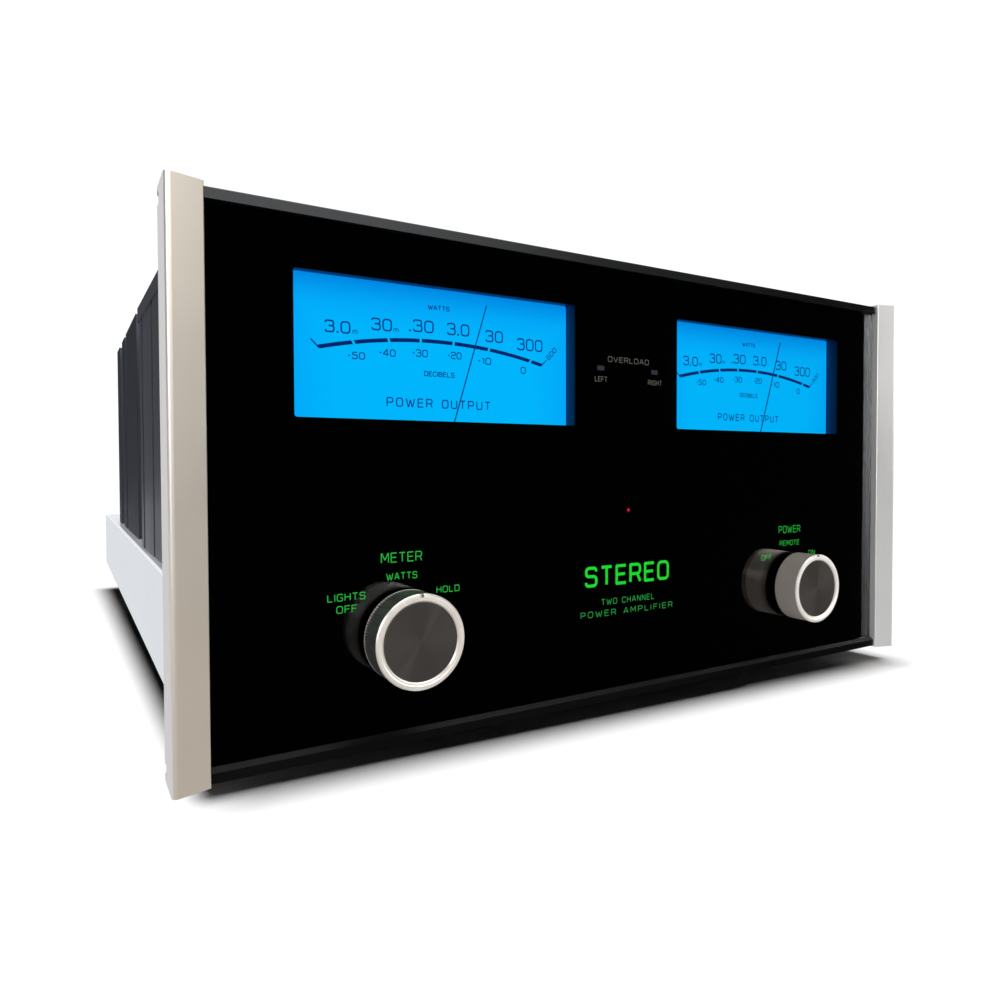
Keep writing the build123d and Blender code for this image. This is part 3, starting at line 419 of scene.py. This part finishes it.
def emissive(name, hexs, strength=1.0, var=0.12):
    a = Mat(name)
    n = a.noise(900.0, 2.0)
    c = lin(hexs)
    a.set(color=(0.01, 0.01, 0.01), emit=a.ramp(n, [(0.3, scale(c, 1 - var)), (0.7, scale(c, 1 + var))]), emits=strength, rough=0.5, spec=0.1)
    return a


M["green"] = emissive("legend_green", "#2ab840")
M["green_dim"] = emissive("legend_green_dim", "#2a9440")
M["logo"] = emissive("legend_green_bright", "#22e034")
M["grey"] = emissive("legend_grey", "#6c6c64")
M["print"] = emissive("dial_print", "#043a8e")
M["print_dark"] = emissive("dial_scale", "#04246c")
# The needles glow their blue: painted light, standing in for the meter's light falling on them.
M["needle"] = emissive("needle_painted_glow", "#073f86")
M["led"] = Mat("indicator_red")
_s = M["led"].sep()
_z = M["led"].math("SUBTRACT", _s[2], P(0, 0, 97.8).z)
_r = M["led"].math("SQRT", M["led"].math("ADD", M["led"].math("MULTIPLY", _s[0], _s[0]), M["led"].math("MULTIPLY", _z, _z)))
M["led"].set(color=(0.02, 0.0, 0.0), rough=0.3, spec=0.1, emits=1.0,
             emit=M["led"].ramp(M["led"].math("MULTIPLY", _r, 1000.0 / 1.5), [(0.0, lin("#f06088")), (0.35, lin("#c81c40")), (0.6, lin("#600412")), (1.0, (0.0, 0.0, 0.0))]))
# The unlit lamp lenses are given a faint glow of their own: painted light, so that they show dim behind the glass.
M["lamp"] = emissive("unlit_lamp_lens_painted_glow", "#37333c", 1.0)


def knob_material(name, side_rough, side_col, side_metal):
    a = Mat(name)
    nrm = a.sep(a.normal())
    front = a.maprange(nrm[1], -0.55, -0.35, 1.0, 0.0)
    turn = a.noise(2400.0, 3.0, 0.6, a.mapped(scale=(0.05, 1.0, 0.05)))
    ring = a.ramp(turn, [(0.3, (0.86, 0.84, 0.82)), (0.7, (0.95, 0.94, 0.92))])
    side = a.ramp(turn, [(0.3, scale(side_col, 0.9)), (0.7, scale(side_col, 1.1))])
    a.set(color=a.mix(front, side, ring), metallic=a.maprange(front, 0.0, 1.0, side_metal, 0.75), rough=a.maprange(front, 0.0, 1.0, side_rough, 0.3))
    a.bump(turn, 0.03, 0.00004)
    return a


M["knob_meter"] = knob_material("fluted_knob", 0.28, (0.40, 0.40, 0.41), 0.9)
# The power knob gets a lighter, more diffuse copy of the knob finish. This is partly a rougher finish and partly
# painted light, for the brighter side it shows.
M["knob_power"] = knob_material("smooth_knob", 0.3, (0.50, 0.455, 0.42), 0.5)


def spun_material(name, cx):
    """A turned disc: concentric micro-grooves that draw the highlight into a bow tie."""
    a = Mat(name)
    s = a.sep()
    dx = a.math("SUBTRACT", s[0], cx)
    dz = a.math("SUBTRACT", s[2], P(0, 0, 48.2).z)
    r = a.math("SQRT", a.math("ADD", a.math("MULTIPLY", dx, dx), a.math("MULTIPLY", dz, dz)))
    rings = a.noise(1.0, 3.0, 0.7, a.comb(a.math("MULTIPLY", r, 3800.0), 0.0, 0.0))
    ang = a.math("ARCTAN2", dz, dx)
    # Angular lobes around the disc's centre are mixed weakly into colour and roughness. They are painted radial streaks
    # of reflection, beside the real turned rings.
    painted_streaks = a.noise(1.0, 2.0, 0.6, a.comb(a.math("MULTIPLY", a.math("COSINE", ang), 5.0), a.math("MULTIPLY", a.math("SINE", ang), 5.0), 0.0))
    m = a.math("MULTIPLY_ADD", rings, 0.82, a.math("MULTIPLY", painted_streaks, 0.18))
    a.set(color=a.ramp(m, [(0.3, (0.128, 0.114, 0.101)), (0.7, (0.150, 0.134, 0.119))]), metallic=0.55, rough=a.maprange(m, 0.3, 0.7, 0.40, 0.46), aniso=0.9)
    t = a.t.nodes.new("ShaderNodeTangent")
    t.direction_type = "RADIAL"
    t.axis = "Y"
    a.link(t.outputs[0], a.b.inputs["Tangent"])
    a.bump(rings, 0.05, 0.00002)
    return a


M["disc_meter"] = spun_material("spun_disc_meter", P(-128, 0, 0).x)
M["disc_power"] = spun_material("spun_disc_power", P(128, 0, 0).x)

ASSIGN = {
    "end_cap_left": "champagne", "end_cap_right": "champagne", "top_trim": "trim", "bottom_trim": "trim_low",
    "front_glass": "glass", "glass_mask": "mask", "front_subframe": "steel_frame", "legend_light_guide": "acrylic",
    "indicator_lamps": "lamp", "meter_housing_left": "housing", "meter_housing_right": "housing",
    "meter_dial_left": "meter", "meter_dial_right": "meter", "meter_movement_left": "movement", "meter_movement_right": "movement",
    "needle_left": "needle", "needle_right": "needle", "meter_lamp_bars": "lampbar",
    "meter_knob": "knob_meter", "power_knob": "knob_power", "meter_knob_face": "disc_meter", "power_knob_face": "disc_power",
    "meter_knob_shaft": "shaft", "power_knob_shaft": "shaft", "meter_switch": "switch", "power_switch": "switch",
    "chassis_tray": "polished", "bottom_cover": "black_steel", "deck_plate": "black_steel", "rear_panel": "black_steel",
    "binding_post_bases": "base", "mains_inlet": "connector", "fuse_drawer": "connector", "xlr_sockets": "connector",
    "xlr_latch_left": "nickel", "xlr_latch_right": "nickel", "rca_sockets": "nickel",
    "heatsink_left": "heatsink", "heatsink_right": "heatsink", "output_module_left": "pcb", "output_module_right": "pcb",
    "power_transformer": "laminate", "output_transformer_left": "laminate", "output_transformer_right": "laminate",
    "power_transformer_cover": "black_steel", "output_transformer_cover_left": "black_steel", "output_transformer_cover_right": "black_steel",
    "top_cover": "black_steel", "filter_capacitors": "sleeve", "power_supply_board": "pcb", "input_board": "pcb", "screws": "fastener",
}
for n, ob in NODES.items():
    if n in ASSIGN:
        key = ASSIGN[n]
    elif n.startswith("foot_"):
        key = "rubber"
    elif n.startswith("binding_post_nut"):
        key = "nut"
    else:
        raise RuntimeError("no material for " + n)
    ob.data.materials.clear()
    ob.data.materials.append(M[key].m)

# ------------------------------------------------------------------ lettering and dial print
GLYPHS = {
    "0": (0.72, [("c", [(0, 0), (0.72, 0), (0.72, 1), (0, 1)])]),
    "O": (0.74, [("c", [(0, 0), (0.74, 0), (0.74, 1), (0, 1)])]),
    "1": (0.24, [("o", [(0, 0.80), (0.24, 1), (0.24, 0)])]),
    "2": (0.70, [("o", [(0, 0.80), (0, 1), (0.70, 1), (0.70, 0.54), (0, 0.48), (0, 0), (0.72, 0)])]),
    "3": (0.70, [("o", [(0, 0.80), (0, 1), (0.68, 1), (0.68, 0.53), (0.24, 0.53)]), ("o", [(0.52, 0.53), (0.71, 0.53), (0.71, 0), (0, 0), (0, 0.20)])]),
    "4": (0.74, [("o", [(0.54, 0), (0.54, 1), (0.50, 1), (0, 0.30), (0, 0.24), (0.74, 0.24)])]),
    "5": (0.70, [("o", [(0.66, 1), (0.05, 1), (0.03, 0.58), (0.70, 0.58), (0.70, 0), (0, 0), (0, 0.18)])]),
    "6": (0.70, [("c", [(0, 0), (0.70, 0), (0.70, 0.58), (0, 0.58)]), ("o", [(0, 0.32), (0, 1), (0.66, 1), (0.66, 0.84)])]),
    ".": (0.06, [("o", [(0.03, -0.06), (0.03, 0.11)])]),
    "-": (0.30, [("o", [(0, 0.46), (0.30, 0.46)])]),
    "m": (1.18, [("o", [(0, 0), (0, 1), (1.18, 1), (1.18, 0)]), ("o", [(0.59, 1), (0.59, 0)])]),
    " ": (0.42, []),
    "A": (0.76, [("s", [(0, 0), (0.34, 1), (0.42, 1), (0.76, 0)]), ("o", [(0.13, 0.32), (0.63, 0.32)])]),
    "B": (0.72, [("s", [(0.3, 0), (0, 0), (0, 1), (0.3, 1)]), ("o", [(0.28, 1), (0.66, 1), (0.66, 0.53), (0.08, 0.53)]), ("o", [(0.50, 0.53), (0.72, 0.53), (0.72, 0), (0.28, 0)])]),
    "C": (0.70, [("o", [(0.70, 0.78), (0.70, 1), (0, 1), (0, 0), (0.70, 0), (0.70, 0.22)])]),
    "D": (0.72, [("s", [(0.3, 0), (0, 0), (0, 1), (0.3, 1)]), ("o", [(0.28, 1), (0.72, 1), (0.72, 0), (0.28, 0)])]),
    "E": (0.64, [("s", [(0.66, 1), (0, 1), (0, 0), (0.66, 0)]), ("o", [(0.06, 0.52), (0.60, 0.52)])]),
    "F": (0.60, [("s", [(0.62, 1), (0, 1), (0, 0)]), ("o", [(0.06, 0.52), (0.56, 0.52)])]),
    "G": (0.72, [("o", [(0.70, 0.80), (0.70, 1), (0, 1), (0, 0), (0.72, 0), (0.72, 0.48), (0.42, 0.48)])]),
    "H": (0.70, [("o", [(0, 0), (0, 1)]), ("o", [(0.70, 0), (0.70, 1)]), ("o", [(0.06, 0.52), (0.64, 0.52)])]),
    "I": (0.02, [("o", [(0.01, 0), (0.01, 1)])]),
    "L": (0.60, [("s", [(0, 1), (0, 0), (0.60, 0)])]),
    "M": (0.82, [("s", [(0, 0), (0, 1), (0.06, 1), (0.41, 0.28), (0.76, 1), (0.82, 1), (0.82, 0)])]),
    "N": (0.70, [("s", [(0, 0), (0, 1), (0.05, 1), (0.65, 0), (0.70, 0), (0.70, 1)])]),
    "P": (0.70, [("s", [(0, 0), (0, 1), (0.3, 1)]), ("o", [(0.28, 1), (0.70, 1), (0.70, 0.44), (0.08, 0.44)])]),
    "R": (0.72, [("s", [(0, 0), (0, 1), (0.3, 1)]), ("o", [(0.28, 1), (0.70, 1), (0.70, 0.46), (0.08, 0.46)]), ("o", [(0.50, 0.44), (0.72, 0)])]),
    "S": (0.70, [("o", [(0.68, 0.80), (0.68, 1), (0, 1), (0, 0.53), (0.70, 0.53), (0.70, 0), (0, 0), (0, 0.20)])]),
    "T": (0.70, [("o", [(0, 1), (0.70, 1)]), ("o", [(0.35, 0.94), (0.35, 0)])]),
    "U": (0.70, [("o", [(0, 1), (0, 0), (0.70, 0), (0.70, 1)])]),
    "V": (0.76, [("s", [(0, 1), (0.34, 0), (0.42, 0), (0.76, 1)])]),
    "W": (1.04, [("s", [(0, 1), (0.24, 0), (0.30, 0), (0.52, 0.8), (0.74, 0), (0.80, 0), (1.04, 1)])]),
}


def rounded(pts, r, closed, steps=5):
    """The polyline with its corners turned into arcs of about radius r."""
    out = []
    n = len(pts)
    for i, p in enumerate(pts):
        if not closed and i in (0, n - 1):
            out.append(Vector(p))
            continue
        a, b, c = Vector(pts[i - 1]), Vector(p), Vector(pts[(i + 1) % n])
        d1, d2 = (a - b), (c - b)
        l1, l2 = d1.length, d2.length
        lim = min(r, l1 * (0.5 if closed or i - 1 > 0 else 0.95), l2 * (0.5 if closed or i + 1 < n - 1 else 0.95))
        if lim < 1e-4 or abs(d1.normalized().cross(d2.normalized())) < 0.05:
            out.append(b)
            continue
        s, e = b + d1.normalized() * lim, b + d2.normalized() * lim
        for k in range(steps + 1):
            t = k / steps
            out.append((1 - t) ** 2 * s + 2 * t * (1 - t) * b + t * t * e)
    return out


def ribbon(bm, pts, width, closed, to3d, depth=0):
    """A flat stroke of one width along pts, mitred at its turns."""
    n = len(pts)
    rows = []
    for i in range(n):
        a = pts[i - 1] if (closed or i > 0) else None
        c = pts[(i + 1) % n] if (closed or i < n - 1) else None
        b = pts[i]
        t1 = (b - a).normalized() if a is not None and (b - a).length > 1e-9 else None
        t2 = (c - b).normalized() if c is not None and (c - b).length > 1e-9 else None
        t = (t1 or t2) if (t1 is None or t2 is None) else (t1 + t2)
        if t.length < 1e-6:
            t = t1
        t = t.normalized()
        nrm = Vector((-t.y, t.x))
        k = 1.0
        if t1 is not None and t2 is not None:
            k = 1.0 / max(0.45, abs(Vector((-t1.y, t1.x)).dot(nrm)))
        rows.append((bm.verts.new(to3d(b + nrm * (width * k / 2))), bm.verts.new(to3d(b - nrm * (width * k / 2)))))
    for i in range(n if closed else n - 1):
        (a1, a2), (b1, b2) = rows[i], rows[(i + 1) % n]
        bm.faces.new((a1, a2, b2, b1))


def new_mesh_object(name, bm, mat, body, smooth=False):
    me = bpy.data.meshes.new(name)
    bm.normal_update()
    bm.to_mesh(me)
    bm.free()
    ob = bpy.data.objects.new(name, me)
    scene.collection.objects.link(ob)
    me.materials.append(M[mat].m)
    if smooth:
        for p in me.polygons:
            p.use_smooth = True
    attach(ob, body)
    return ob


def text_width(text, track, sub=None):
    w = 0.0
    for i, ch in enumerate(text):
        w += GLYPHS[ch][0]
        if i < len(text) - 1:
            w += track
    return w


def draw_text(bm, text, cx, cz, y, h, stroke, track=0.32, radius=0.26, width=None, angle=0.0, stretch=None):
    """Stroke lettering, centred on (cx, cz) in the plane at depth y; h is the capital height, in mm."""
    total = text_width(text, track)
    sx = h if width is None else (width - stroke) / max(total, 1e-6)
    if stretch:
        sx = h * stretch
    hh = h - stroke
    x = -total / 2 * sx
    ca, sa = math.cos(math.radians(angle)), math.sin(math.radians(angle))

    for i, ch in enumerate(text):
        gw, strokes = GLYPHS[ch]
        kx, kz = sx, hh
        for kind, pts in strokes:
            # work in mm so that corner radii and stroke width are true
            pm = [(a * kx, b * kz) for a, b in pts]
            rr = {"c": radius * min(sx, h), "o": radius * min(sx, h) * 0.92, "s": 0.02 * h}[kind]
            rp = rounded(pm, rr, kind == "c")

            def to3(p, x=x, kz=kz):
                px, pz = x + p.x, p.y - 0.5 * hh
                return P(cx + px * ca - pz * sa, y, cz + px * sa + pz * ca)

            ribbon(bm, rp, stroke * (1.35 if ch == "." else 1.0), kind == "c", to3)
        x += gw * kx + track * sx


def legend(name, items, mat, body="chassis", y=11.36):
    bm = bmesh.new()
    for it in items:
        draw_text(bm, *it[:1], it[1], it[2], y, it[3], it[4], **(it[5] if len(it) > 5 else {}))
    return new_mesh_object(name, bm, mat, body)


legend("legend_meter_switch", [
    ("METER", -128.0, 81.4, 4.4, 0.46, {"width": 19.4}),
    ("WATTS", -128.0, 73.2, 3.1, 0.40, {"width": 14.6}),
    ("LIGHTS", -153.0, 66.2, 3.2, 0.40, {"width": 16.6}),
    ("OFF", -153.0, 61.1, 3.2, 0.40, {"width": 9.0}),
    ("HOLD", -105.6, 65.6, 3.0, 0.38, {"width": 11.6}),
], "green")
legend("legend_power_switch", [
    ("POWER", 128.0, 81.9, 4.4, 0.46, {"width": 20.0}),
    ("REMOTE", 128.0, 73.6, 3.2, 0.38, {"width": 18.0}),
    ("OFF", 107.2, 65.8, 3.2, 0.40, {"width": 9.0}),
    ("ON", 149.0, 66.4, 3.2, 0.38, {"width": 6.4}),
], "green")
legend("legend_title", [
    ("STEREO", 0.0, 64.4, 10.6, 1.55, {"width": 57.0, "track": 0.36}),
], "logo")
legend("legend_subtitle", [
    ("TWO CHANNEL", 0.0, 50.9, 3.2, 0.42, {"width": 36.0, "track": 0.42}),
    ("POWER AMPLIFIER", 0.0, 45.2, 3.2, 0.42, {"width": 62.4, "track": 0.5}),
], "green_dim")
legend("legend_indicators", [
    ("OVERLOAD", 0.0, 175.6, 2.8, 0.30, {"width": 27.6}),
    ("LEFT", -18.2, 165.1, 2.7, 0.30, {"width": 7.9}),
    ("RIGHT", 18.2, 165.1, 2.7, 0.28, {"width": 9.8}),
], "grey")


def dial_print(side, mx):
    y = 19.9
    body = "chassis"
    bm = bmesh.new()
    figures = (
        ("3.0", -49.0, 180.3, 11.33, 5.40, 0.72), ("30", -29.1, 183.1, 9.70, 5.57, 0.72), (".30", -10.0, 184.2, 12.24, 5.74, 0.72),
        ("3.0", 8.7, 184.3, 11.69, 5.68, 0.72), ("30", 28.0, 182.8, 9.72, 5.71, 0.72), ("300", 48.3, 180.4, 14.86, 5.93, 0.72),
        ("m", -41.3, 178.7, 2.24, 1.89, 0.34), ("m", -22.4, 181.2, 2.51, 1.69, 0.34),
        ("-50", -40.8, 168.7, 7.98, 3.22, 0.50), ("-40", -26.5, 171.0, 7.89, 3.29, 0.50), ("-30", -10.8, 172.0, 7.81, 3.46, 0.50),
        ("-20", 6.7, 172.2, 7.34, 3.37, 0.50), ("-10", 22.6, 170.8, 7.43, 3.41, 0.50), ("0", 44.4, 167.8, 3.01, 3.42, 0.50),
        ("WATTS", -1.3, 193.2, 11.14, 2.28, 0.42), ("DECIBELS", -1.1, 163.0, 15.55, 2.39, 0.42),
        ("POWER OUTPUT", -0.6, 149.5, 52.94, 4.18, 0.58),
    )
    for t, x, z, wide, high, line in figures:
        draw_text(bm, t, mx + x, z, y, high, line, track=0.46 if t == "POWER OUTPUT" else 0.28, radius=0.28, width=wide)
    draw_text(bm, "600", mx + 61.2, 177.1, y, 2.6, 0.40, track=0.24, radius=0.28, width=7.4, angle=47.0)
    new_mesh_object("dial_figures_" + side, bm, "print", body)
    # the scale: a broken arc with a slanted tick at each end
    bm = bmesh.new()
    R, zc, xc = 239.0, -61.2, -1.6
    gaps = [-42.1, -25.8, -10.4, 6.2, 25.1, 48.6]
    lo, hi = -57.3, 55.1
    edges = [lo]
    for g in gaps:
        edges += [g - 0.55, g + 0.55]
    edges.append(hi)
    for i in range(0, len(edges), 2):
        a, b = edges[i], edges[i + 1]
        # the breaks are cut along the needle's own lines, so both ends of a piece lean
        k = max(3, int((b - a) / 1.5))
        rows = []
        for j in range(k + 1):
            x = a + (b - a) * j / k
            c = Vector((x, zc + math.sqrt(R * R - (x - xc) ** 2)))
            lean = (c - Vector((-3.4, 98.0))).normalized()
            half = 0.86 / max(0.5, lean.dot((c - Vector((xc, zc))).normalized()))
            hi_p, lo_p = c + lean * half, c - lean * half
            rows.append((bm.verts.new(P(mx + hi_p.x, y, hi_p.y)), bm.verts.new(P(mx + lo_p.x, y, lo_p.y))))
        for (a1, a2), (b1, b2) in zip(rows, rows[1:]):
            bm.faces.new((a1, a2, b2, b1))
    zl = zc + math.sqrt(R * R - (lo - xc) ** 2)
    zr = zc + math.sqrt(R * R - (hi - xc) ** 2)
    ribbon(bm, [Vector((lo + 0.25, zl - 0.5)), Vector((lo - 3.4, zl + 3.1))], 0.55, False, lambda p: P(mx + p.x, y - 0.02, p.y))
    ribbon(bm, [Vector((hi - 0.25, zr - 0.5)), Vector((hi + 2.9, zr + 2.7))], 0.45, False, lambda p: P(mx + p.x, y - 0.02, p.y))
    new_mesh_object("dial_scale_" + side, bm, "print_dark", body)


dial_print("left", -104.1)
dial_print("right", 101.9)


def led():
    bm = bmesh.new()
    n = 24
    c = bm.verts.new(P(0, 11.42, 97.8))
    ring = [bm.verts.new(P(1.5 * math.cos(2 * math.pi * i / n), 11.46, 97.8 + 1.5 * math.sin(2 * math.pi * i / n))) for i in range(n)]
    for i in range(n):
        bm.faces.new((c, ring[(i + 1) % n], ring[i]))
    new_mesh_object("power_led_lens", bm, "led", "chassis", True)


led()


# ------------------------------------------------------------------ studio floor
def grid_object(name, x0, x1, y0, y1, z, n, mat):
    bm = bmesh.new()
    vs = [[bm.verts.new((x0 + (x1 - x0) * i / n, y0 + (y1 - y0) * j / n, z)) for j in range(n + 1)] for i in range(n + 1)]
    for i in range(n):
        for j in range(n):
            bm.faces.new((vs[i][j], vs[i + 1][j], vs[i + 1][j + 1], vs[i][j + 1]))
    me = bpy.data.meshes.new(name)
    bm.to_mesh(me)
    bm.free()
    ob = bpy.data.objects.new(name, me)
    scene.collection.objects.link(ob)
    me.materials.append(mat)
    return ob


def floor():
    a = plastic("studio_floor_paint", (0.9, 0.9, 0.9), 0.9, grain=300, var=0.004, bump=0.0)
    a.set(spec=0.0)
    ob = grid_object("studio_floor", -30, 30, -30, 30, -0.0002, 18, a.m)
    ob.visible_glossy = False
    ob.visible_transmission = False
    # shade cards, seen by the ground light alone: wide and soft in front, closer in at the side, and a low one for the dark contact
    shades = []
    for name, z, z_rear, edge in (
        ("shade_card_front", 0.046, 0.046, ((-201.0, 18.5), (238.0, 2.5), (232.0, 300.0), (-201.0, 300.0))),
        ("shade_card_side", 0.017, 0.034, ((-209.8, 24.0), (100.0, 14.0), (100.0, 640.0), (-219.5, 640.0))),
        ("shade_card_low", 0.012, 0.012, ((-206.0, 26.0), (236.0, 14.5), (230.0, 500.0), (-208.0, 500.0))),
    ):
        gobo = grid_object(name, 0, 1, 0, 1, z, 2, a.m)
        for v in gobo.data.vertices:
            tx, ty = v.co.x, v.co.y
            (ax, ay), (bx, by), (cx, cy), (dx, dy) = edge
            x = (1 - ty) * ((1 - tx) * ax + tx * bx) + ty * ((1 - tx) * dx + tx * cx)
            y = (1 - ty) * ((1 - tx) * ay + tx * by) + ty * ((1 - tx) * dy + tx * cy)
            v.co.x, v.co.y, v.co.z = x / 1000.0, (y - Y0) / 1000.0, z + (z_rear - z) * ty
        for k in ("visible_camera", "visible_diffuse", "visible_glossy", "visible_transmission", "visible_volume_scatter"):
            setattr(gobo, k, False)
        shades.append(gobo)
    sun_ob.light_linking.receiver_collection = group("ground", [ob])
    sun_ob.light_linking.blocker_collection = group("shade", shades)
    for li in [o for o in scene.objects if o.type == "LIGHT" and o is not sun_ob]:
        li.light_linking.blocker_collection = NOT_SHADE
    for o in NODES.values():
        NOT_SHADE.objects.link(o)


NOT_SHADE = group("blockers", [])
floor()
